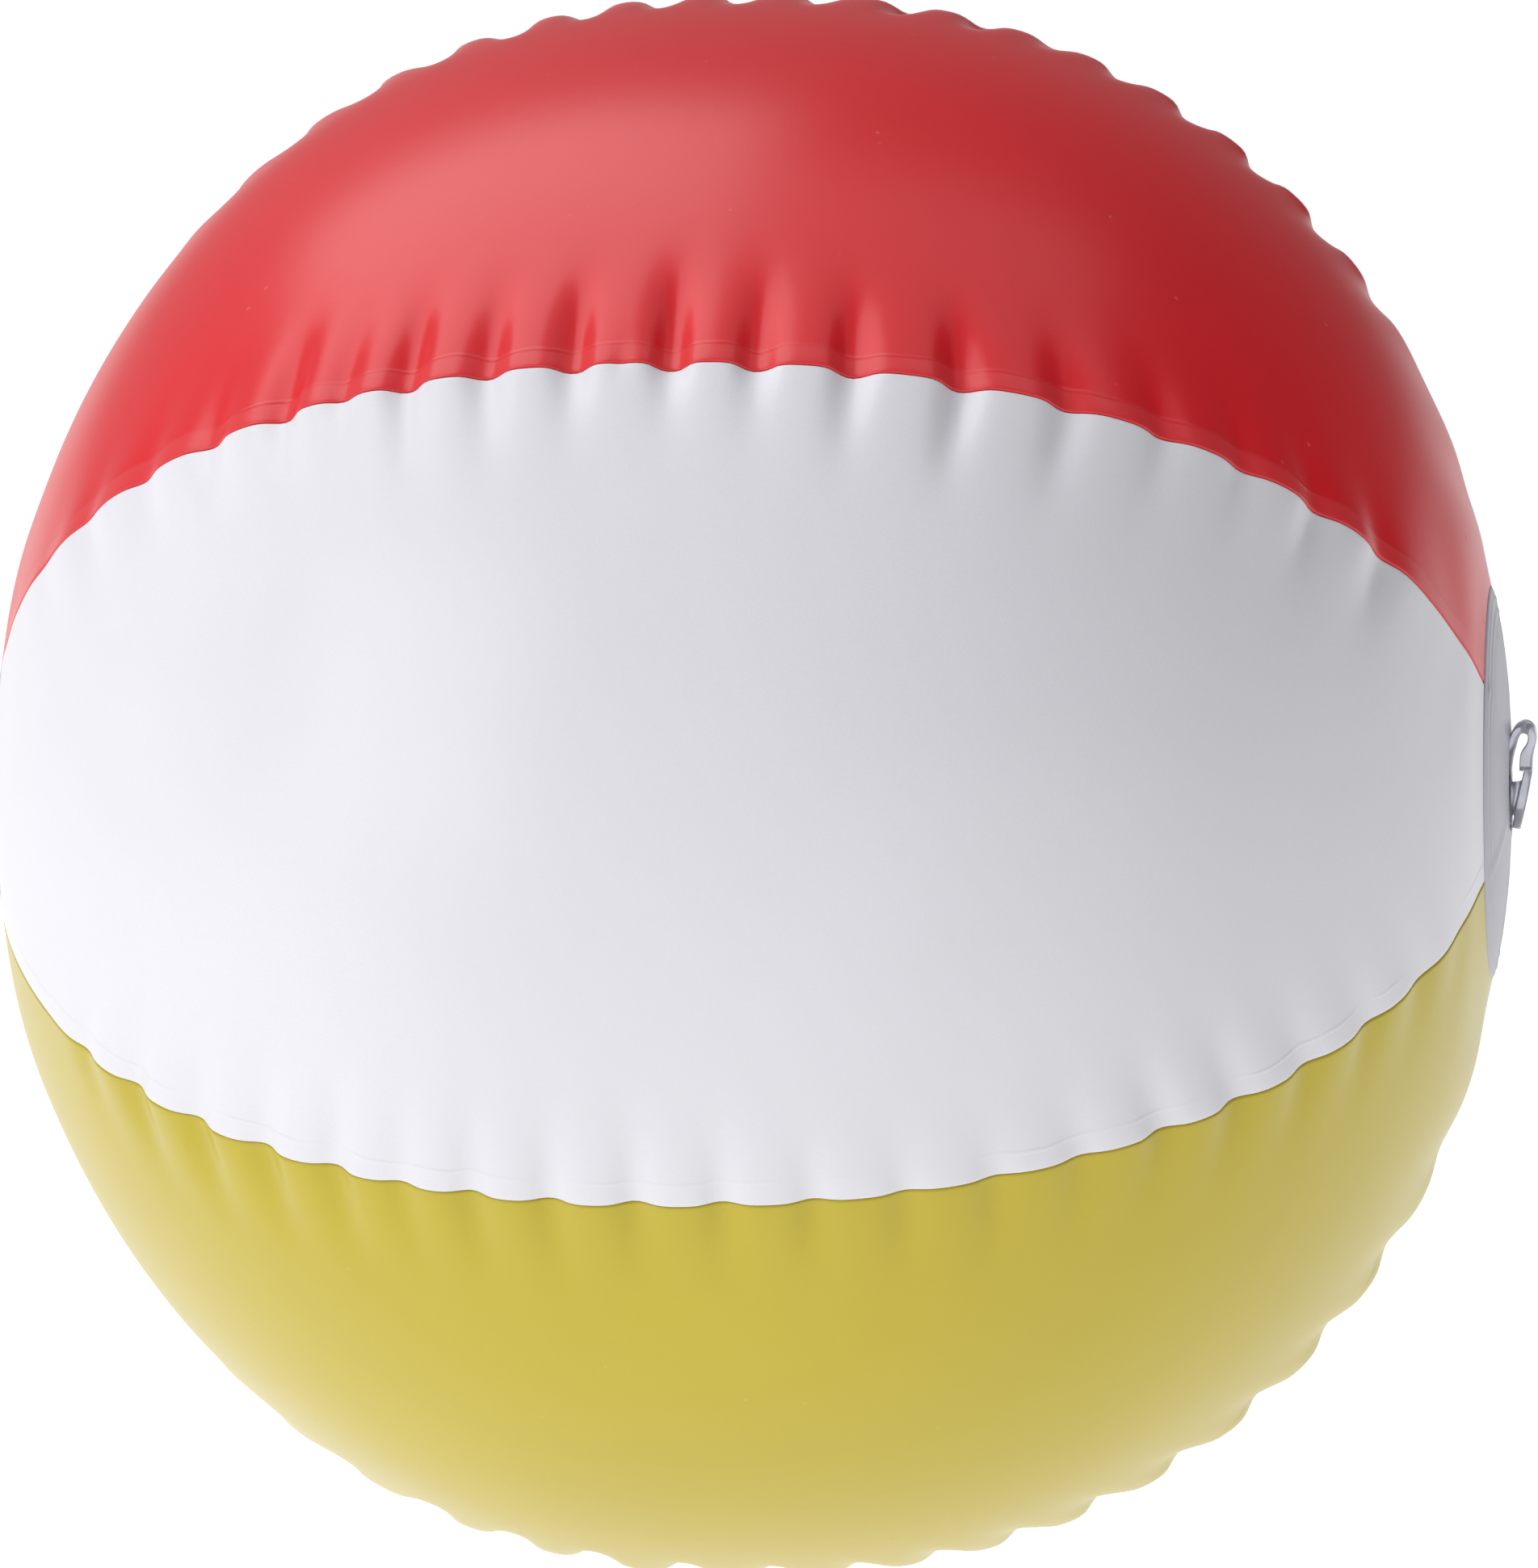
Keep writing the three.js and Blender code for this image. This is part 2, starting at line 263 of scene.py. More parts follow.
class Outline:
    """The ball's meridian: (x / pole radius)^p + (r / equator radius)^p = 1, read by its arc length.

    The arc starts at the plain pole and ends at the valve's pole.
    """

    def __init__(self, pole=POLE_RADIUS, equator=EQUATOR_RADIUS, power=PROFILE_POWER, count=6001):
        angle = np.linspace(-math.pi / 2, math.pi / 2, count)
        sine, cosine = np.sin(angle), np.clip(np.cos(angle), 0, None)
        self.x = pole * np.sign(sine) * np.abs(sine) ** (2 / power)
        self.r = equator * cosine ** (2 / power)
        slope_x = np.sign(sine) * (np.abs(self.x) / pole) ** (power - 1) / pole
        slope_r = (self.r / equator) ** (power - 1) / equator
        size = np.hypot(slope_x, slope_r)
        self.nx, self.nr = slope_x / size, slope_r / size
        self.arc = np.concatenate([[0], np.cumsum(np.hypot(np.diff(self.x), np.diff(self.r)))])

    def at(self, arc):
        """x, r and the outward normal's x and r at arc lengths."""
        return tuple(np.interp(arc, self.arc, values) for values in (self.x, self.r, self.nx, self.nr))

    def arc_at_radius(self, r, end):
        """The arc lengths where the meridian is r away from the axis, on the side of end, -1 or +1."""
        half = self.x * end >= 0
        rising = np.argsort(self.r[half])
        return np.interp(r, self.r[half][rising], self.arc[half][rising])


def round_the_axis(x, r, angle, tangential=0.0):
    """Points at x along the axis, r away from it and round it by angle, then moved along the circle."""
    y = -r * np.cos(angle) + tangential * np.sin(angle)
    z = r * np.sin(angle) + tangential * np.cos(angle)
    return np.stack(np.broadcast_arrays(x, y, z), -1)


def grid_quads(rows, columns, closed_rows=False, closed_columns=False):
    """The quads of a grid of points, with its ends joined up where it is closed."""
    i = np.arange(rows if closed_rows else rows - 1)[:, None]
    j = np.arange(columns if closed_columns else columns - 1)[None]
    below, beside = (i + 1) % rows, (j + 1) % columns
    here, next_row = i * columns, below * columns
    return np.stack([here + j, next_row + j, next_row + beside, here + beside], -1).reshape(-1, 4)


def new_piece(name, points, faces, material):
    """A smooth-shaded mesh object from points and faces."""
    mesh = bpy.data.meshes.new(name)
    mesh.from_pydata(np.asarray(points, float).reshape(-1, 3).tolist(), [], faces)
    mesh.update()
    mesh.shade_smooth()
    mesh.materials.append(material)
    piece = bpy.data.objects.new(name, mesh)
    bpy.context.scene.collection.objects.link(piece)
    return piece


def closed_ring(name, rings, material):
    """A piece from rings of points whose last ring joins the first, such as a tube with a wall."""
    rows, columns = rings.shape[:2]
    return new_piece(name, rings, grid_quads(rows, columns, True, True).tolist(), material)


def capped(name, rings, material):
    """A piece from rings of points, with a fan to a middle point over its first and its last ring."""
    rows, columns = rings.shape[:2]
    quads = grid_quads(rows, columns, False, True)
    around = np.arange(columns)
    after = (around + 1) % columns
    first, last = rows * columns, rows * columns + 1
    end = (rows - 1) * columns
    start_fan = np.stack([np.full(columns, first), around, after], -1)
    end_fan = np.stack([end + after, end + around, np.full(columns, last)], -1)
    points = np.concatenate([rings.reshape(-1, 3), rings[:1].mean(1), rings[-1:].mean(1)])
    faces = quads.tolist() + start_fan.tolist() + end_fan.tolist()
    return new_piece(name, points, faces, material)


def rounded(outline, radius, steps=5, closed=True):
    """A 2-D outline whose corners are rounded by quadratic curves that start radius before each corner."""
    points = np.asarray(outline, float)
    before, after = np.roll(points, 1, 0) - points, np.roll(points, -1, 0) - points
    reach = [np.minimum(radius, 0.5 * np.linalg.norm(way, axis=1)) for way in (before, after)]
    start = points + before * (reach[0] / np.linalg.norm(before, axis=1))[:, None]
    end = points + after * (reach[1] / np.linalg.norm(after, axis=1))[:, None]
    t = np.linspace(0, 1, steps)[None, :, None]
    curve = (1 - t) ** 2 * start[:, None] + 2 * t * (1 - t) * points[:, None] + t**2 * end[:, None]
    if not closed:
        curve[0], curve[-1] = points[0], points[-1]
    return curve.reshape(-1, 2)


def thickened(line, wall, steps=7):
    """A closed 2-D outline round an open line: both sides at half the wall, and half-round ends."""
    line = np.asarray(line, float)
    along = np.gradient(line, axis=0)
    along /= np.linalg.norm(along, axis=1)[:, None]
    side = np.stack([-along[:, 1], along[:, 0]], -1) * wall / 2
    turn = np.linspace(0, math.pi, steps)[1:-1, None]
    far_end = line[-1] + np.cos(turn) * side[-1] + np.sin(turn) * along[-1] * wall / 2
    near_end = line[0] - np.cos(turn) * side[0] - np.sin(turn) * along[0] * wall / 2
    return np.concatenate([line + side, far_end, (line - side)[::-1], near_end])


def circle(count):
    """The angles of a circle's points, as one row."""
    return np.linspace(0, 2 * math.pi, count, endpoint=False)[None]


def about_axis(section, axis_z, segments):
    """Rings about an X axis at height axis_z, one for each [x, r] point of a section."""
    section = np.asarray(section, float)
    points = round_the_axis(section[:, :1], section[:, 1:], circle(segments))
    points[..., 2] += axis_z
    return points


def facing_out(piece):
    """Turns the faces of a closed piece so that its volume is positive, all of them together."""
    mesh = piece.data
    points = np.array([vertex.co for vertex in mesh.vertices])
    mesh.calc_loop_triangles()
    triangles = points[np.array([triangle.vertices for triangle in mesh.loop_triangles])]
    volume = np.einsum("ij,ij->", triangles[:, 0], np.cross(triangles[:, 1], triangles[:, 2]))
    if volume < 0:
        mesh.flip_normals()
    return piece


# ---------------------------------------------------------------------------------------------
# The film simulation
# ---------------------------------------------------------------------------------------------

SKIN_STATIONS = 300
SKIN_COLUMNS = 64
SKIN_HOLE = 9.0
SKIN_FIRM_RADIUS = 35.0
STRETCH_WITH_GRAIN = 0.65
STRETCH_ON_BIAS = 0.35
SEAM_STIFFENING = 3.0
DISC_STIFFENING = 2.2
STEP_SHARE = 0.9
DAMPING = 0.985
START_NOISE = 0.35
# The uneven edges: how wide they are as a share of a gore, and their knots from pole to pole
UNEVEN_WIDTH = 0.13
GATHER_KNOTS = 11
SIDE_KNOTS = 15
# The puckers: the Gaussian along the meridian, the radii where they start and are whole, the least
# height that the sharpening works with, and the width of the stiff weld as a share of a gore
PUCKER_SPREAD = 12.0
PUCKER_RADII = (38, 62)
LEAST_HEIGHT = 0.15
HOLD_WIDTH = 0.1


def pull(here, there, rest, stiffness):
    """The force on here of springs to there: stiffness x (there - here) x (1 - rest / distance)."""
    way = there - here
    distance = np.sqrt((way * way).sum(0))
    return way * (stiffness * (1 - rest / distance))


def smooth_random(random, knots, places, count):
    """Count rows of smooth random values at places from 0 to 1, with a spread of about 1."""
    values = random.standard_normal((knots, count))
    return cubic(values, places * (knots - 1)).T


def inflate(air):
    """Blows up six flat gores, welded edge to edge, and returns the skin's points as (3, rows, columns).

    The skin is a grid of masses. A row is a ring round the ball and a column runs from pole to pole.
    Springs along, across and on both diagonals have the lengths of the flat gores, whose half width at
    each station is the ball's radius there times 30 degrees. A film like that has more length beside a
    seam than the seam spans once it is round, so the pressure leaves it puckered. Each step adds the
    springs' pull, the pressure along the surface's normal and the bending force, which is minus the
    grid's biharmonic, and moves the masses with damping until they are still.
    """
    outline = Outline(POLE_RADIUS / MM, EQUATOR_RADIUS / MM)
    first = outline.arc_at_radius(SKIN_HOLE, -1)
    last = outline.arc_at_radius(SKIN_HOLE, 1)
    arc = np.linspace(first, last, SKIN_STATIONS + 1)
    x, r, _, _ = outline.at(arc)
    total = GORES * SKIN_COLUMNS
    seams = slice(None, None, SKIN_COLUMNS)

    # The flat gores
    spacing = (arc[1] - arc[0]) / (1 + air.stretch)
    half_width = HALF_GORE * r / (1 + air.stretch)
    places = np.linspace(-1, 1, SKIN_COLUMNS + 1)
    left, right = np.tile(places[:-1], GORES), np.tile(places[1:], GORES)
    low, high = half_width[:-1, None], half_width[1:, None]
    cell = (2 * half_width / SKIN_COLUMNS)[:, None] * np.ones(total)
    along = np.sqrt(spacing**2 + (left * (high - low)) ** 2)
    rising = np.sqrt(spacing**2 + (right * high - left * low) ** 2)
    falling = np.sqrt(spacing**2 + (left * high - right * low) ** 2)

    # Uneven edges: beside each seam the film is a little longer in some places than in others
    random = np.random.default_rng(air.seed)
    share = (arc - first) / (last - first)
    from_seam = np.abs((np.arange(total) + SKIN_COLUMNS / 2) % SKIN_COLUMNS - SKIN_COLUMNS / 2)
    near = np.exp(-((from_seam / SKIN_COLUMNS / UNEVEN_WIDTH) ** 2))
    gathers = smooth_random(random, GATHER_KNOTS, share, GORES)
    sides = smooth_random(random, SIDE_KNOTS, share, GORES)
    seam_of = ((np.arange(total) + SKIN_COLUMNS // 2) // SKIN_COLUMNS) % GORES
    side_of = np.where((np.arange(total) % SKIN_COLUMNS) < SKIN_COLUMNS // 2, 1.0, -1.0)
    uneven = near * (air.gather + air.slack * (gathers[seam_of].T + side_of * sides[seam_of].T))
    along = along * (1 + 0.5 * (uneven[:-1] + uneven[1:]))

    # Springs, masses and bending
    firm = np.where(r < SKIN_FIRM_RADIUS, DISC_STIFFENING, 1.0)[:, None]
    firm_cell = np.minimum(firm[:-1], firm[1:])
    stiff_along = STRETCH_WITH_GRAIN * air.stiffness * 0.5 * (cell[:-1] + cell[1:]) / spacing * firm_cell
    stiff_along[:, seams] *= SEAM_STIFFENING
    stiff_across = STRETCH_WITH_GRAIN * air.stiffness * spacing / cell * firm
    stiff_bias = STRETCH_ON_BIAS * air.stiffness * firm_cell * np.ones(total)
    bending = air.bending / (spacing * cell) * firm**2
    mass = stiff_across + np.roll(stiff_across, 1, 1) + 20 * bending
    mass[:-1] += stiff_along + 2 * stiff_bias
    mass[1:] += stiff_along + 2 * stiff_bias
    mobility = 1 / (STEP_SHARE * mass)
    mobility[[0, -1]] = 0

    # The start: the outline, a little uneven
    angle = 2 * math.pi * np.arange(total) / total
    points = np.stack([np.broadcast_to(x[:, None], (len(x), total)), np.outer(r, np.cos(angle)),
                       np.outer(r, np.sin(angle))])
    bumps = random.standard_normal((len(x), total))
    for _ in range(3):
        bumps = (bumps + np.roll(bumps, 1, 1) + np.roll(bumps, -1, 1)) / 3
        bumps[1:-1] = (bumps[:-2] + bumps[1:-1] + bumps[2:]) / 3
    bumps *= START_NOISE / bumps.std() * (r > SKIN_FIRM_RADIUS)[:, None]
    points = points + points / np.linalg.norm(points, axis=0) * bumps

    working = (points, along, rising, falling, cell, stiff_along, stiff_across, stiff_bias, bending, mobility)
    (points, along, rising, falling, cell, stiff_along, stiff_across, stiff_bias, bending,
     mobility) = (values.astype(np.float32) for values in working)
    velocity = np.zeros_like(points)
    curve = np.zeros_like(points)
    quarter = np.float32(air.pressure / 4)
    damping = np.float32(DAMPING)
    for _ in range(air.steps):
        force = np.zeros_like(points)
        after, before = np.roll(points, -1, 2), np.roll(points, 1, 2)
        tug = pull(points, after, cell, stiff_across)
        force += tug
        force -= np.roll(tug, 1, 2)
        tug = pull(points[:, :-1], points[:, 1:], along, stiff_along)
        force[:, :-1] += tug
        force[:, 1:] -= tug
        tug = pull(points[:, :-1], after[:, 1:], rising, stiff_bias)
        force[:, :-1] += tug
        force[:, 1:] -= np.roll(tug, 1, 2)
        tug = pull(after[:, :-1], points[:, 1:], falling, stiff_bias)
        force[:, 1:] -= tug
        force[:, :-1] += np.roll(tug, 1, 2)
        u, v = (after - before)[:, 1:-1], points[:, 2:] - points[:, :-2]
        force[0, 1:-1] += quarter * (u[1] * v[2] - u[2] * v[1])
        force[1, 1:-1] += quarter * (u[2] * v[0] - u[0] * v[2])
        force[2, 1:-1] += quarter * (u[0] * v[1] - u[1] * v[0])
        curve[:, 1:-1] = points[:, 2:] + points[:, :-2] + (after + before - 4 * points)[:, 1:-1]
        round_about = np.roll(curve, 1, 2) + np.roll(curve, -1, 2) - 4 * curve
        round_about[:, 1:-1] += curve[:, 2:] + curve[:, :-2]
        force[:, 1:-1] -= bending[1:-1] * round_about[:, 1:-1]
        velocity = (velocity + force * mobility) * damping
        points = points + velocity
    if not np.isfinite(points).all():
        raise RuntimeError("the film simulation didn't settle")
    return arc, points.astype(float)


def puckers(film, air):
    """What the simulation adds to the smooth ball: its arc lengths in metres and, for each gore, the
    offsets along the surface's normal, along the meridian and round the ball, as (rows, columns + 1).

    The smooth ball is the mean of the six gores, averaged along the meridian by a Gaussian. Each
    offset along the normal h is sharpened to h - c h² / a, with a the height of the puckers nearby,
    which makes the hills broader and the valleys narrower. The weld's stiffness takes out a share of the
    sideways waves beside the seams. Everything fades out under the discs.
    """
    arc, points = inflate(air)
    outline = Outline(POLE_RADIUS / MM, EQUATOR_RADIUS / MM)
    _, r, nx, nr = outline.at(arc)
    total = points.shape[2]
    angle = 2 * math.pi * np.arange(total) / total
    radial = points[1] * np.cos(angle) + points[2] * np.sin(angle)
    around = points[2] * np.cos(angle) - points[1] * np.sin(angle)
    near = np.exp(-0.5 * ((arc[:, None] - arc[None]) / PUCKER_SPREAD) ** 2)
    near /= near.sum(1)[:, None]

    def rough(values, mirror):
        split = values.reshape(len(arc), GORES, SKIN_COLUMNS)
        mean = split.mean(1)
        mean = 0.5 * (mean + mirror * np.roll(mean[:, ::-1], 1, 1))
        return (split - (near @ mean)[:, None]).reshape(values.shape)

    dx, dr, da = rough(points[0], 1), rough(radial, 1), rough(around, -1)
    normal = nx[:, None] * dx + nr[:, None] * dr
    meridian = nr[:, None] * dx - nx[:, None] * dr
    height = np.sqrt(2 * (near @ normal**2)) + LEAST_HEIGHT
    normal = normal - film.crease / height * normal**2
    fade = smoothstep(r, *PUCKER_RADII)[:, None] * film.pucker * MM
    from_seam = (np.arange(total) + SKIN_COLUMNS / 2) % SKIN_COLUMNS / SKIN_COLUMNS - 0.5
    held = 1 - film.seam_hold * np.exp(-((from_seam / HOLD_WIDTH) ** 2))
    offsets = np.stack([normal, meridian, da * held]) * fade
    offsets = np.concatenate([offsets, offsets[:, :, :1]], 2)
    gores = [offsets[:, :, k * SKIN_COLUMNS : (k + 1) * SKIN_COLUMNS + 1] for k in range(GORES)]
    return arc * MM, gores


# ---------------------------------------------------------------------------------------------
# Shaders
# ---------------------------------------------------------------------------------------------


class Wire:
    """A node's output. Arithmetic on it adds Math nodes."""

    def __init__(self, paint, socket):
        self.paint = paint
        self.socket = socket

    def maths(self, operation, *values):
        return self.paint.add("ShaderNodeMath", {"operation": operation}, dict(enumerate(values)))

    def __add__(self, other):
        return self.maths("ADD", self, other)

    __radd__ = __add__

    def __sub__(self, other):
        return self.maths("SUBTRACT", self, other)

    def __rsub__(self, other):
        return self.maths("SUBTRACT", other, self)

    def __mul__(self, other):
        return self.maths("MULTIPLY", self, other)

    __rmul__ = __mul__

    def __abs__(self):
        return self.maths("ABSOLUTE", self)


class Paint:
    """A material that is put together one node at a time."""

    def __init__(self, name):
        self.material = bpy.data.materials.new(name)
        self.material.use_nodes = True
        self.tree = self.material.node_tree
        self.tree.nodes.clear()
        self.place = self.add("ShaderNodeTexCoord", output="Object")

    def add(self, kind, choices=None, values=None, output=0):
        """A node of this type, with its own choices made first and then its sockets' values or links."""
        node = self.tree.nodes.new(kind)
        for name, value in (choices or {}).items():
            setattr(node, name, value)
        for name, value in (values or {}).items():
            if isinstance(value, Wire):
                self.tree.links.new(value.socket, node.inputs[name])
            else:
                node.inputs[name].default_value = value
        return Wire(self, node.outputs[output])

    def noise(self, scale, detail=2.0, roughness=0.5):
        """A noise from 0 to 1 with this many features to a metre."""
        values = {"Vector": self.place, "Scale": scale, "Detail": detail, "Roughness": roughness}
        return self.add("ShaderNodeTexNoise", {"noise_dimensions": "3D"}, values)

    def ramp(self, value, low, high, out_low=0.0, out_high=1.0):
        """A value carried smoothly from the range low..high to out_low..out_high."""
        values = {"Value": value, "From Min": low, "From Max": high, "To Min": out_low, "To Max": out_high}
        return self.add("ShaderNodeMapRange", {"interpolation_type": "SMOOTHSTEP"}, values)

    def mix(self, factor, first, second):
        """Two colours mixed by a factor."""
        values = {0: factor, 6: tint(first), 7: tint(second)}
        return self.add("ShaderNodeMix", {"data_type": "RGBA"}, values, 2)

    def bump(self, height, distance):
        """A normal from a height of 0 to 1, which stands for this distance."""
        values = {"Height": height, "Distance": distance, "Strength": 1.0}
        return self.add("ShaderNodeBump", None, values, "Normal")

    def finish(self, **values):
        """The surface itself, from the Principled shader's sockets, with _ for a space."""
        named = {name.replace("_", " "): value for name, value in values.items()}
        return self.show(self.add("ShaderNodeBsdfPrincipled", None, named))

    def show(self, surface):
        """The finished material, with this surface."""
        output = self.tree.nodes.new("ShaderNodeOutputMaterial")
        self.tree.links.new(surface.socket, output.inputs["Surface"])
        return self.material


def tint(value):
    """A colour with its alpha, or a wire as it is."""
    if isinstance(value, Wire):
        return value
    return (*tuple(value)[:3], 1.0)


def shade(base, factor):
    """A colour times a number, held below 1."""
    return tuple(min(1.0, channel * factor) for channel in tuple(base)[:3])


def grey(level):
    """A colour with three equal channels."""
    return (level, level, level)


# The fin that is welded on behind the film ends this far from the seam
WELD_MARK = 4.0 * MM
BACKED_FILM = (0.86, 0.85, 0.86)
PALE_DUST = (0.86, 0.85, 0.84)
HAZE = (0.62, 0.60, 0.58)
FILM_IOR = 1.48
MOULDED_IOR = 1.5
FILM_RELIEF = 0.05 * MM
MOULDED_RELIEF = 0.06 * MM
CLEARNESS = 0.72


def clouded(paint, base, cloud, grain, darker, lighter, share):
    """A colour that drifts between two shades of itself, with a share of darker fine grain."""
    drifting = paint.mix(paint.ramp(cloud, 0.3, 0.7), shade(base, darker), shade(base, lighter))
    return paint.mix(paint.ramp(grain, 0.25, 0.75) * share, drifting, shade(base, 0.9))


def film_material(name, base):
    """Semi-gloss PVC film: cloudy depth, fine grain, specks of dust, and a paler strip over the weld fin."""
    paint = Paint(name)
    cloud = paint.noise(9.0, 3.0)
    grain = paint.noise(2600.0, 2.0, 0.6)
    grained = clouded(paint, base, cloud, grain, 0.965, 1.03, 0.3)

    # The weld fin folded behind the film shows through as a paler strip with a faint ridge at its edge
    lap = paint.add("ShaderNodeAttribute", {"attribute_name": "lap_distance"}, output="Fac")
    edge = lap + (paint.noise(75.0, 2.0) - 0.5) * (2.2 * MM)
    strip = paint.ramp(edge, WELD_MARK - 0.4 * MM, WELD_MARK + 0.4 * MM, 1.0, 0.0)
    paler = paint.mix(strip * 0.025, grained, BACKED_FILM)
    ridge = paint.ramp(abs(edge - WELD_MARK), 0.0, 0.55 * MM, 1.0, 0.0)
    ridge = ridge * paint.ramp(paint.noise(38.0, 1.0), 0.38, 0.6)

    # Single specks of dust
    speck_size = paint.add("ShaderNodeTexVoronoi", {"feature": "F1"}, {"Vector": paint.place, "Scale": 210.0})
    speck_kept = paint.ramp(paint.noise(120.0, 1.0), 0.58, 0.66)
    specks = paint.ramp(speck_size, 0.05, 0.11, 1.0, 0.0) * speck_kept
    dusty = paint.mix(specks * 0.07, paler, PALE_DUST)

    rubbed = paint.noise(24.0, 3.0, 0.5)
    roughness = 0.26 + cloud * 0.04 + rubbed * 0.05 + specks * 0.2
    height = paint.noise(520.0, 2.0, 0.5) * 0.4 + grain * 0.2 + specks * 0.5 + ridge * 1.6
    bumpy = paint.bump(height, FILM_RELIEF)
    return paint.finish(Base_Color=dusty, Roughness=roughness, Normal=bumpy, IOR=FILM_IOR)


def disc_material(name, base):
    """The discs' stiffer film, a little duller and hazier than the gores', on a base colour that is darkened
    with painted shade.
    """
    paint = Paint(name)
    cloud = paint.noise(30.0, 3.0)
    grain = paint.noise(2600.0, 2.0, 0.6)
    grained = clouded(paint, base, cloud, grain, 0.94, 1.02, 0.2)
    haze = paint.ramp(paint.noise(60.0, 6.0, 0.62), 0.5, 0.8)
    dusty = paint.mix(haze * 0.06, grained, HAZE)
    roughness = 0.38 + cloud * 0.06 + haze * 0.08
    height = paint.noise(520.0, 2.0) * 0.6 + grain * 0.3
    bumpy = paint.bump(height, FILM_RELIEF)
    return paint.finish(Base_Color=dusty, Roughness=roughness, Normal=bumpy, IOR=FILM_IOR)


def clear_material(name, base):
    """Moulded clear PVC: slightly blue and cloudy, with soft waves and fine scratches."""
    paint = Paint(name)
    cloud = paint.noise(320.0, 3.0)
    milky = paint.mix(paint.ramp(cloud, 0.35, 0.75), base, shade(base, 0.8))
    scratches = paint.ramp(paint.noise(900.0, 3.0, 0.6), 0.5, 0.75)
    roughness = 0.14 + cloud * 0.06 + scratches * 0.08
    height = paint.noise(260.0, 1.0) * 0.8 + scratches * 0.1
    return paint.finish(
        Base_Color=milky,
        Roughness=roughness,
        Normal=paint.bump(height, MOULDED_RELIEF),
        Transmission_Weight=CLEARNESS,
        IOR=MOULDED_IOR,
    )


def material_of(kind):
    """The material of a finish, made the first time that it is asked for."""
    film, _, valve, _ = settings()
    name = f"{kind}_finish"
    made = bpy.data.materials.get(name)
    if made:
        return made
    if kind == "clear":
        return clear_material(name, tuple(valve.clear))
    if kind == "disc":
        # The discs' colour holds painted shade
        return disc_material(name, tuple(film.disc))
    return film_material(name, tuple(getattr(film, kind)))


# ---------------------------------------------------------------------------------------------
# Film pieces
# ---------------------------------------------------------------------------------------------

GORE_ROWS = 400
GORE_COLUMNS = 64
EDGE_CROWDING = 0.6
TIP_RADII = (7.0 * MM, 13.6 * MM)
ROLL_STEPS = 5
FIN_STEPS = 3
SEAM_GAP = 0.03 * MM
WELD_BLUR = 0.8 * MM
WELD_STEP = 0.045 * MM


def gore_stations():
    """The outline and the arc lengths of a gore's rows, from its tip at -X to its tip at +X."""
    outline = Outline()
    start = outline.arc_at_radius(TIP_RADII[0], -1)
    end = outline.arc_at_radius(TIP_RADII[1], 1)
    return outline, np.linspace(start, end, GORE_ROWS)


def gore_points(order, offsets, skin_arc, film, random):
    """One gore's points as (rows, columns, 3), with its distance from the lower seam and its flat place.

    A point lies on the meridian's outline, plus the gore's flattening and the puckers. The flattening
    follows 1 / cos of the angle from the gore's middle, as a flat side's distance from an axis does.
    Each long edge ends in a quadratic curve round the seam's corner and a straight fin behind it.
    """
    outline, arc = gore_stations()
    x, r, nx, nr = (values[:, None] for values in outline.at(arc))
    half_width = HALF_GORE * r
    place = np.linspace(-1, 1, GORE_COLUMNS + 1)
    place = (1 - EDGE_CROWDING) * place + EDGE_CROWDING * np.sin(place * math.pi / 2)
    place = place * (1 - film.roll / half_width)
    seams = np.array([[-1.0, 1.0]]) * np.ones_like(r)
    middle = GORE_TURN + order * 2 * HALF_GORE

    # Puckers between the simulation's own grid points
    rows = np.clip((arc - skin_arc[0]) / (skin_arc[1] - skin_arc[0]), 0, SKIN_STATIONS)
    by_row = [cubic(values, rows) for values in offsets]
    ripple = smooth_random(random, 60, np.linspace(0, 1, GORE_ROWS), 1).T

    def surface(places):
        at = (places + 1) / 2 * SKIN_COLUMNS
        normal, meridian, around = (cubic(values, at, 1) for values in by_row)
        flat = (1 / np.cos(places * HALF_GORE) - 1) / (1 / math.cos(HALF_GORE) - 1)
        lobed = smoothstep(r, DISC_RADIUS, 0.8 * EQUATOR_RADIUS)
        mark = smoothstep((1 + places) * half_width, WELD_MARK + WELD_BLUR, WELD_MARK - WELD_BLUR)
        mark = mark * WELD_STEP * (0.7 + 0.25 * ripple) * smoothstep(r, DISC_RADIUS, 2 * DISC_RADIUS)
        lift = normal + lobed * (film.seam_lift - film.lobe * (1 - flat)) + mark
        return round_the_axis(
            x + lift * nx + meridian * nr,
            r + lift * nr - meridian * nx,
            middle + places * HALF_GORE,
            around,
        )

    body = surface(place)
    seam_lines = surface(seams)
    angle = middle + seams * HALF_GORE
    normals = round_the_axis(nx, nr, angle)
    inwards = round_the_axis(0.0, 0.0, angle, 1.0) * -np.sign(seams)[..., None]
    seam_corners = seam_lines + inwards * SEAM_GAP
    turned = seam_corners - normals * film.roll
    t = np.linspace(0, 1, ROLL_STEPS + 1)[1:, None, None, None]
    outer = np.stack([body[:, 0], body[:, -1]], 1)
    rolls = (1 - t) ** 2 * outer + 2 * t * (1 - t) * seam_corners + t**2 * turned
    depths = np.linspace(film.roll, film.fin, FIN_STEPS + 1)[1:, None, None, None]
    edges = np.concatenate([rolls, seam_corners - normals * depths]).transpose(1, 0, 2, 3)
    points = np.concatenate([edges[:, ::-1, 0], body, edges[:, :, 1]], 1)
    edge_count = ROLL_STEPS + FIN_STEPS
    lap = np.pad((1 + place) * half_width, ((0, 0), (edge_count, edge_count)), mode="edge")
    across = np.pad(place * half_width, ((0, 0), (edge_count, edge_count)), mode="edge")
    flat_place = np.stack([across, np.broadcast_to(arc[:, None], across.shape)], -1)
    return points, lap, flat_place


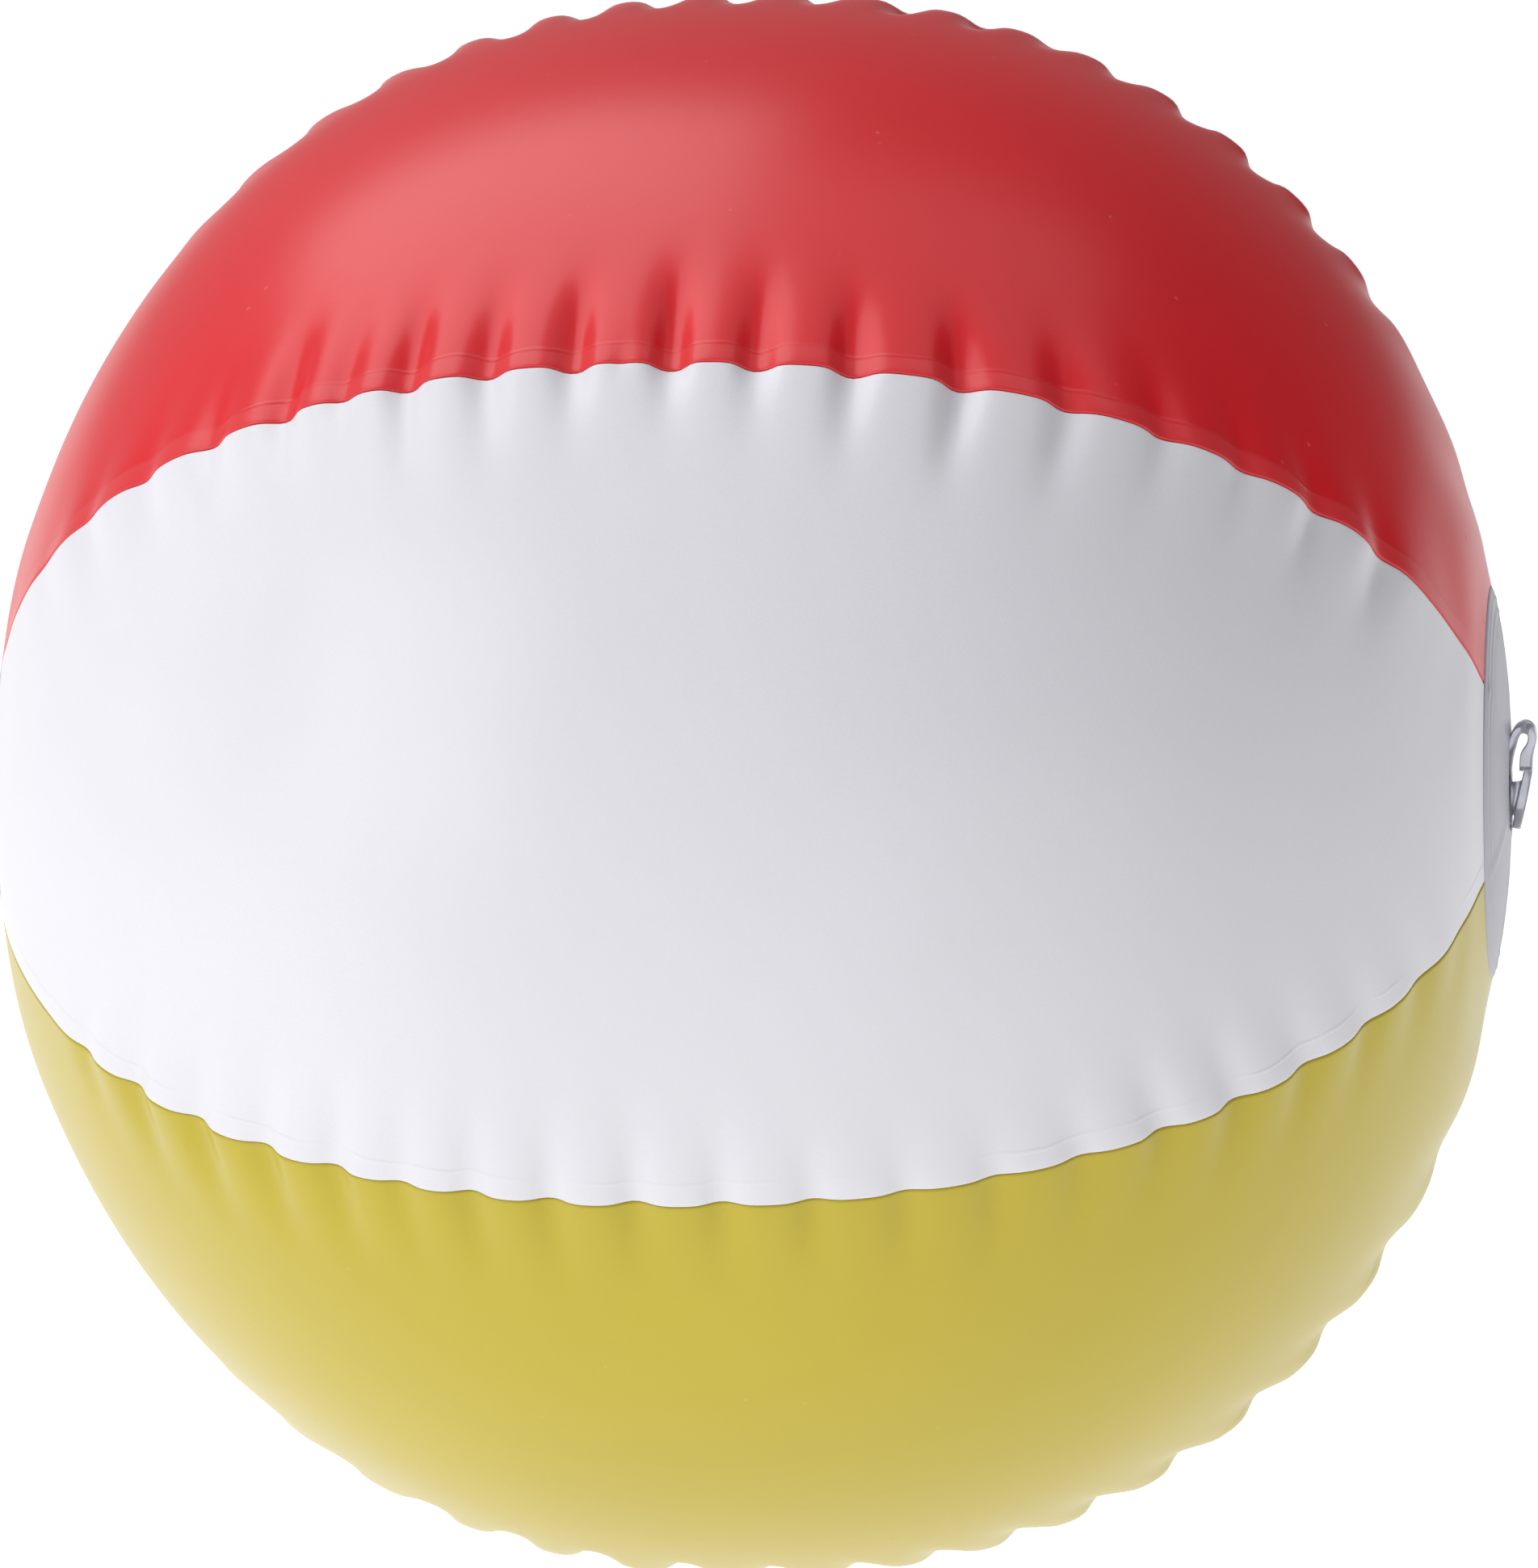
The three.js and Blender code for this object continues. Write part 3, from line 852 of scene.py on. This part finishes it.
def set_attribute(piece, name, values):
    """A number for each of a piece's points, which its material reads by name."""
    attribute = piece.data.attributes.new(name, "FLOAT", "POINT")
    attribute.data.foreach_set("value", np.asarray(values, np.float32).ravel())


def set_uv(piece, flat_place):
    """The piece's UV map, in metres on the flat film."""
    layer = piece.data.uv_layers.new(name="flat")
    corner = np.zeros(len(piece.data.loops), np.int32)
    piece.data.loops.foreach_get("vertex_index", corner)
    layer.data.foreach_set("uv", flat_place.reshape(-1, 2)[corner].astype(np.float32).ravel())


def give_wall(piece, thickness):
    """A wall behind the piece's surface."""
    modifier = piece.modifiers.new("wall", "SOLIDIFY")
    modifier.thickness = thickness
    modifier.offset = -1
    modifier.use_even_offset = False


def flat_gore_size():
    """A gore's flat width, length and area: its width is the ball's radius times 60 degrees."""
    outline, arc = gore_stations()
    widths = 2 * HALF_GORE * outline.at(arc)[1]
    gore_length = float(arc[-1] - arc[0])
    return float(widths.max()), gore_length, float(np.mean(widths)) * gore_length


def make_gores():
    """The six gores, each its own piece."""
    film, air, _, _ = settings()
    skin_arc, offsets = puckers(film, air)
    width, gore_length, area = flat_gore_size()
    random = np.random.default_rng(air.seed + 1)
    for order, (node, colour_name) in enumerate(PANELS):
        points, lap, flat_place = gore_points(order, offsets[order], skin_arc, film, random)
        quads = grid_quads(*points.shape[:2]).tolist()
        gore = new_piece(f"{node}_film", points, quads, material_of(colour_name))
        set_attribute(gore, "lap_distance", lap)
        set_uv(gore, flat_place)
        give_wall(gore, film.thickness)
        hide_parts(node)
        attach(gore, "ball")


DISC_RINGS = 90
DISC_SEGMENTS = 360
DISC_GAP = 0.06 * MM
DISC_WALL = 0.3 * MM
POLE_FLAT = 7.0 * MM


def disc_points(end, hole, radius):
    """A pole disc's outer face: the ball's outline lifted by the gap and the wall.

    Two low beads run round beside the rim where it is welded, the six seams below telegraph as soft
    ridges, and the rim itself is rounded down. With no hole, the middle is flat.
    """
    outline = Outline()
    r = np.linspace(hole, radius, DISC_RINGS)[:, None]
    angle = circle(DISC_SEGMENTS)
    arc = outline.arc_at_radius(np.maximum(r, POLE_FLAT), end)
    x, _, nx, nr = outline.at(arc)
    lift = DISC_GAP + DISC_WALL
    rim = radius - r
    beads = sum(0.16 * MM * np.exp(-(((rim - place) / (0.55 * MM)) ** 2)) for place in (2.2 * MM, 4.6 * MM))
    dished = -0.12 * MM * smoothstep(rim, 8 * MM, 5 * MM) * smoothstep(rim, 0.4 * MM, 1.2 * MM)
    rounding = -0.32 * MM * smoothstep(rim, 1.0 * MM, 0.0)
    from_seam = (angle - GORE_TURN) % (2 * HALF_GORE) - HALF_GORE
    ridges = 0.22 * MM * np.exp(-((r * from_seam / (1.5 * MM)) ** 2)) * smoothstep(r, 10 * MM, 16 * MM)
    ridges = ridges * smoothstep(rim, 0.6 * MM, 3 * MM)
    height = lift + beads + dished + rounding + ridges
    scale = np.where(r > POLE_FLAT, 1.0, r / POLE_FLAT)
    return round_the_axis(x + height * nx, r + scale * height * nr, angle)


def make_discs():
    """The two film discs that close the poles."""
    for name, node, end, hole in (
        ("valve_disc", "pole_disc_valve", 1, VALVE_HOLE_RADIUS),
        ("plain_disc", "pole_disc_plain", -1, 0.4 * MM),
    ):
        points = disc_points(end, hole, DISC_RADIUS)
        rows, columns = points.shape[:2]
        faces = grid_quads(rows, columns, False, True)[:, ::-end].tolist()
        if end < 0:
            faces.append(list(range(columns))[::-1])
        disc = new_piece(name, points, faces, material_of("disc"))
        give_wall(disc, DISC_WALL)
        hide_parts(node)
        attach(disc, "ball")


# ---------------------------------------------------------------------------------------------
# Valve pieces
# ---------------------------------------------------------------------------------------------

ROUND = 120
# How far behind the mouth the neck's collar lies, where the web is moulded on
COLLAR_DEPTH = 8.0 * MM
FLAP_EYE = 0.15 * MM
FLAP_DISH = 0.1 * MM
SHANK_RADIUS = 3.1 * MM
SHANK_LENGTH = 6.2 * MM
NOSE_RADIUS = 1.9 * MM
HEAD_THICKNESS = 1.55 * MM
HEAD_GAP = 1.1 * MM
PLUG_EYE = 0.2 * MM


def finish_valve_piece(piece, nodes, body=None):
    """What every moulded piece needs: its faces turned outwards, the nodes that it stands for hidden, and its
    body.
    """
    facing_out(piece)
    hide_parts(*nodes)
    if body:
        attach(piece, body)
    return piece


def make_flange():
    """The flange: a flat ring with soft edges."""
    foot, top = FLANGE_LOW[0], FLANGE_HIGH[0]
    inner, outer = VALVE_HOLE_RADIUS, FLANGE_RADIUS
    section = rounded([(foot, inner), (top, inner), (top, outer), (foot + 0.4 * MM, outer)], 0.35 * MM)
    flange = closed_ring("valve_flange_ring", about_axis(section, 0.0, ROUND), material_of("clear"))
    finish_valve_piece(flange, ["valve_flange"], "ball")


def make_web():
    """The web: a thin folding skirt from the flange, in and down to the foot of the neck.

    Its middle line is an S curve of x over radius; each circle's centre moves from the ball's axis to
    the neck's own, and shallow pleats come and go along it.
    """
    _, _, valve, _ = settings()
    top, foot = WEB_HIGH[0], WEB_LOW[0] + 0.25 * MM
    wide, narrow = VALVE_HOLE_RADIUS + 0.25 * MM, NECK_RADIUS + 0.5 * MM
    line = through([(top, wide), (top - 2.2 * MM, wide - 0.1 * MM), (foot + 1.4 * MM, narrow + 1.7 * MM),
                    (foot, narrow + 0.7 * MM), (foot + 0.3 * MM, narrow)], 40)
    section = thickened(line, valve.web_wall)
    share = np.clip((wide - section[:, 1:]) / (wide - narrow), 0, 1)
    angle = circle(ROUND)
    pleats = 0.13 * MM * np.sin(9 * angle) * np.sin(math.pi * share) ** 2
    points = round_the_axis(section[:, :1], section[:, 1:] + pleats, angle)
    points[..., 2] += NECK_AXIS_Z * smoothstep(share, 0, 1)
    web = finish_valve_piece(closed_ring("valve_web_skirt", points, material_of("clear")), ["valve_web"])
    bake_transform(web)


def make_neck():
    """The neck: an open tube with a thicker lip at its mouth and a collar where the web meets it."""
    end, mouth = NECK_LOW[0], NECK_HIGH[0]
    outer, bore = NECK_RADIUS, NECK_BORE
    lip = 1.1 * MM
    slim = outer - 0.35 * MM
    collar = mouth - COLLAR_DEPTH
    outline = [(end, bore), (mouth, bore), (mouth, outer), (mouth - lip, outer),
               (mouth - lip - 0.5 * MM, slim), (collar + 0.5 * MM, slim), (collar, outer),
               (collar - 1.2 * MM, outer), (collar - 1.7 * MM, slim), (end, slim)]
    section = rounded(outline, 0.3 * MM)
    rings = about_axis(section, NECK_AXIS_Z, ROUND)
    finish_valve_piece(closed_ring("valve_neck_tube", rings, material_of("clear")), ["valve_neck"], "neck")


def make_flap():
    """The check flap: a thin disc with a soft edge that closes the neck's inner end."""
    low, high = FLAP_LOW[0], FLAP_HIGH[0]
    radius = float(FLAP_HIGH[1])
    outline = [(high, FLAP_EYE), (high, radius), (low, radius), (low + FLAP_DISH, FLAP_EYE)]
    section = rounded(outline, 0.25 * MM, closed=False)
    rings = about_axis(section, NECK_AXIS_Z, ROUND)
    finish_valve_piece(capped("check_flap_disc", rings, material_of("clear")), ["check_flap"], "flap")


def make_plug():
    """The plug: a tapered shank with a round nose under a tilted head.

    A ring of the profile lies at height h along the neck's axis with radius r. Its plane tilts from
    square, on the shank, to the head's tilt, by a smoothstep of the height.
    """
    _, _, valve, _ = settings()
    foot = NECK_HIGH[0] + HEAD_GAP
    shank, thick = SHANK_RADIUS, HEAD_THICKNESS
    waist, dish = shank - 0.25 * MM, thick - 0.25 * MM
    outline = [(-SHANK_LENGTH, PLUG_EYE), (-SHANK_LENGTH, NOSE_RADIUS), (-4.2 * MM, shank),
               (-3.2 * MM, shank), (-3.0 * MM, waist), (-1.2 * MM, waist), (-0.2 * MM, shank),
               (0.0, shank + 0.4 * MM), (0.0, HEAD_RADIUS), (thick, HEAD_RADIUS),
               (thick, HEAD_RADIUS - 1.2 * MM), (dish, HEAD_RADIUS - 1.5 * MM), (dish, PLUG_EYE)]
    profile = rounded(outline, 0.35 * MM, closed=False)
    height, r = profile[:, :1], profile[:, 1:]
    tilt = valve.head_tilt * smoothstep(height, -1.6 * MM, -0.1 * MM)
    angle = circle(ROUND)
    up, side = r * np.sin(angle), -r * np.cos(angle)
    x = foot + height * np.cos(tilt) + up * np.sin(tilt)
    z = NECK_AXIS_Z + up * np.cos(tilt) - height * np.sin(tilt)
    rings = np.stack(np.broadcast_arrays(x, side, z), -1)
    finish_valve_piece(capped("plug_stopper", rings, material_of("clear")), ["valve_plug"], "plug")


def make_strap():
    """The strap: one band from the neck's rim, out over the disc, round its loop and back to the head.

    Its section is a rounded rectangle, carried along a smooth line in the X-Z plane. It turns a little at
    the loop, thickens towards the head and widens at both roots.
    """
    _, _, valve, _ = settings()
    mouth = NECK_HIGH[0]
    rim = NECK_AXIS_Z + NECK_RADIUS
    # From the neck's rim to the head, in millimetres from the mouth and from the rim
    route = [(-0.75, -0.35), (-0.7, 1.0), (-0.35, 3.2), (0.15, 5.0), (0.6, 6.5), (1.35, 7.75), (2.5, 8.1),
             (3.5, 7.4), (3.7, 6.0), (3.3, 4.5), (2.75, 3.2), (2.6, 1.9), (2.55, 0.4)]
    line = through(np.array(route) * MM + (mouth, rim), 90)
    along = np.gradient(line, axis=0)
    along /= np.linalg.norm(along, axis=1)[:, None]
    out = np.stack([along[:, 1], -along[:, 0]], -1)
    share = np.linspace(0, 1, len(line))
    bend = np.exp(-(((share - 0.52) / 0.12) ** 2))
    half_wide = STRAP_WIDTH / 2 * (1 + 0.12 * smoothstep(np.abs(share - 0.5), 0.38, 0.5))
    half_thick = valve.strap_thickness / 2 * (1 + 0.45 * smoothstep(share, 0.7, 0.86))
    section = rounded([(-1, -1), (1, -1), (1, 1), (-1, 1)], 0.42)
    across = section[:, 0] * half_wide[:, None]
    deep = section[:, 1] * half_thick[:, None]
    x = line[:, :1] + out[:, :1] * deep
    z = line[:, 1:] + out[:, 1:] * deep + 0.16 * bend[:, None] * across
    strap = capped("plug_strap", np.stack([x, across, z], -1), material_of("clear"))
    finish_valve_piece(strap, ["plug_strap_lower", "plug_strap_upper"])
    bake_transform(strap)


# ---------------------------------------------------------------------------------------------
# Stage
# ---------------------------------------------------------------------------------------------

FLOOR_SIZE = 60.0
FLOOR_PAPER = (0.34, 0.36)
FLOOR_GLOW = 0.94
# How far from the middle of the floor the painted contact shadow under the ball starts to fade and where it
# ends
PAINTED_SHADOW_RADII = (0.09, 0.14)
# The floor's glow inside the painted contact shadow
PAINTED_SHADOW_GLOW = 0.04
SKY_LEVELS = (0.44, 0.0)
SKY_BAND = (0.09, 0.14)

# Each light's name, place, size and power in watts
LIGHTS = (
    ("overhead_softbox", (-0.75, 0.06, 1.6), (2.2, 1.35), 19),
    ("overhead_fill", (0.45, 0.1, 1.7), (1.1, 1.4), 3.6),
    ("window_side", (-1.7, -1.9, 0.7), (1.6, 1.6), 20.5),
)


def floor_material():
    """The pale studio floor: it glows a little, so that it stays pale everywhere, but a painted contact
    shadow dims its glow under the ball.
    """
    paint = Paint("studio_floor")
    soft = paint.ramp(paint.noise(1.3, 2.0), 0.3, 0.7)
    paper = paint.mix(soft, grey(FLOOR_PAPER[0]), grey(FLOOR_PAPER[1]))
    away = paint.add("ShaderNodeVectorMath", {"operation": "LENGTH"}, {0: paint.place}, "Value")
    # Painted contact shadow: the glow's colour falls to a dark grey close under the ball
    outside_painted_shadow = paint.ramp(away, *PAINTED_SHADOW_RADII)
    glow_with_painted_shadow = paint.mix(outside_painted_shadow, grey(PAINTED_SHADOW_GLOW), grey(1.0))
    return paint.finish(Base_Color=paper, Roughness=0.9, Emission_Color=glow_with_painted_shadow, Emission_Strength=FLOOR_GLOW)


def area_light(name, place, size, power):
    """A rectangular soft light at a place, turned to the ball and hidden from the camera."""
    data = bpy.data.lights.new(name, "AREA")
    data.shape = "RECTANGLE"
    data.size, data.size_y = size
    data.energy = power
    light = bpy.data.objects.new(name, data)
    light.location = place
    light.rotation_euler = (-Vector(place)).to_track_quat("-Z", "Y").to_euler()
    light.visible_camera = False
    bpy.context.scene.collection.objects.link(light)


def make_world():
    """A pale sky, brighter on the plain pole's side, with a white band just above the floor's far edge."""
    world = bpy.data.worlds.new("studio_air")
    world.use_nodes = True
    tree = world.node_tree
    background = tree.nodes["Background"]
    way = tree.nodes.new("ShaderNodeTexCoord")
    split = tree.nodes.new("ShaderNodeSeparateXYZ")
    tree.links.new(way.outputs["Generated"], split.inputs["Vector"])

    def carried(value, *ends):
        """A value carried from the range of the first two ends to the range of the last two."""
        level = tree.nodes.new("ShaderNodeMapRange")
        for name, end in zip(("From Min", "From Max", "To Min", "To Max"), ends):
            if isinstance(end, float):
                level.inputs[name].default_value = end
            else:
                tree.links.new(end, level.inputs[name])
        tree.links.new(value, level.inputs["Value"])
        return level.outputs["Result"]

    sky = carried(split.outputs["X"], -1.0, 1.0, *SKY_LEVELS)
    strength = carried(split.outputs["Z"], *SKY_BAND, 1.0, sky)
    tree.links.new(strength, background.inputs["Strength"])
    background.inputs["Color"].default_value = (1.0, 1.0, 1.0, 1.0)
    bpy.context.scene.world = world


def make_camera(stage):
    """The camera, on a circle round the ball and rolled a little about its own axis."""
    aim = Vector((stage.sideways, 0, 0))
    flat = math.cos(stage.elevation)
    right = Vector((math.cos(stage.azimuth), math.sin(stage.azimuth), 0))
    away = Vector((right.y * flat, -right.x * flat, math.sin(stage.elevation)))
    up = away.cross(right)
    right_rolled = right * math.cos(stage.roll) - up * math.sin(stage.roll)
    up_rolled = up * math.cos(stage.roll) + right * math.sin(stage.roll)
    data = bpy.data.cameras.new("camera")
    data.lens = stage.lens
    data.sensor_width = 36
    camera = bpy.data.objects.new("camera", data)
    axes = Matrix((right_rolled, up_rolled, away)).transposed().to_4x4()
    camera.matrix_world = Matrix.Translation(aim + away * stage.distance) @ axes
    bpy.context.scene.collection.objects.link(camera)
    bpy.context.scene.camera = camera


def make_stage():
    """A wide pale floor under the ball, the world, the lights and the camera."""
    _, _, _, stage = settings()
    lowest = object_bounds()[0][2]
    half = FLOOR_SIZE / 2
    edges = ((-half, -half), (half, -half), (half, half), (-half, half))
    floor = new_piece("floor", [(*edge, lowest) for edge in edges], [(0, 1, 2, 3)], floor_material())
    floor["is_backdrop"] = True
    make_world()
    for light in LIGHTS:
        area_light(*light)
    make_camera(stage)
    bpy.context.scene.view_settings.view_transform = "Standard"


# ---------------------------------------------------------------------------------------------
# Operators and panel
# ---------------------------------------------------------------------------------------------


def piece_operator(name, label, description, *makers):
    """An operator that makes some of the pieces."""

    def execute(self, context):
        for make in makers:
            make()
        return {"FINISHED"}

    parts = {"bl_idname": f"beach_ball.{name}", "bl_label": label, "__doc__": description, "execute": execute}
    return type(f"BALL_OT_{name}", (bpy.types.Operator,), parts)


OPERATORS = (
    piece_operator("gores", "Gores", "Inflate the six film gores", make_gores),
    piece_operator("discs", "Pole discs", "Make the two pole discs", make_discs),
    piece_operator("valve_seat", "Flange and web", "Make the valve's flange and web", make_flange, make_web),
    piece_operator("neck", "Neck and flap", "Make the neck and its check flap", make_neck, make_flap),
    piece_operator("plug", "Plug and strap", "Make the plug and its strap", make_plug, make_strap),
    piece_operator("stage", "Stage", "Make the floor, the lights and the camera", make_stage),
)


class BALL_PT_sidebar(bpy.types.Panel):
    """The ball's settings and its operators"""

    bl_label = "Beach Ball"
    bl_idname = "BALL_PT_sidebar"
    bl_space_type = "VIEW_3D"
    bl_region_type = "UI"
    bl_category = "Beach Ball"

    def draw(self, context):
        column = self.layout.column()
        for group in settings():
            for name in group.__annotations__:
                column.prop(group, name)
        for operator in OPERATORS:
            column.operator(operator.bl_idname)


GROUPS = (
    (FilmSettings, "ball_film"),
    (AirSettings, "ball_air"),
    (ValveSettings, "ball_valve"),
    (StageSettings, "ball_stage"),
)


def register():
    for group, name in GROUPS:
        bpy.utils.register_class(group)
        setattr(bpy.types.Scene, name, PointerProperty(type=group))
    for shown in (*OPERATORS, BALL_PT_sidebar):
        bpy.utils.register_class(shown)


def unregister():
    for shown in (BALL_PT_sidebar, *reversed(OPERATORS)):
        bpy.utils.unregister_class(shown)
    for group, name in reversed(GROUPS):
        delattr(bpy.types.Scene, name)
        bpy.utils.unregister_class(group)


def main():
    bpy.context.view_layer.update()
    register()
    bpy.ops.beach_ball.gores()
    bpy.ops.beach_ball.discs()
    bpy.ops.beach_ball.valve_seat()
    bpy.ops.beach_ball.neck()
    bpy.ops.beach_ball.plug()
    bpy.ops.beach_ball.stage()


if __name__ == "__main__":
    main()
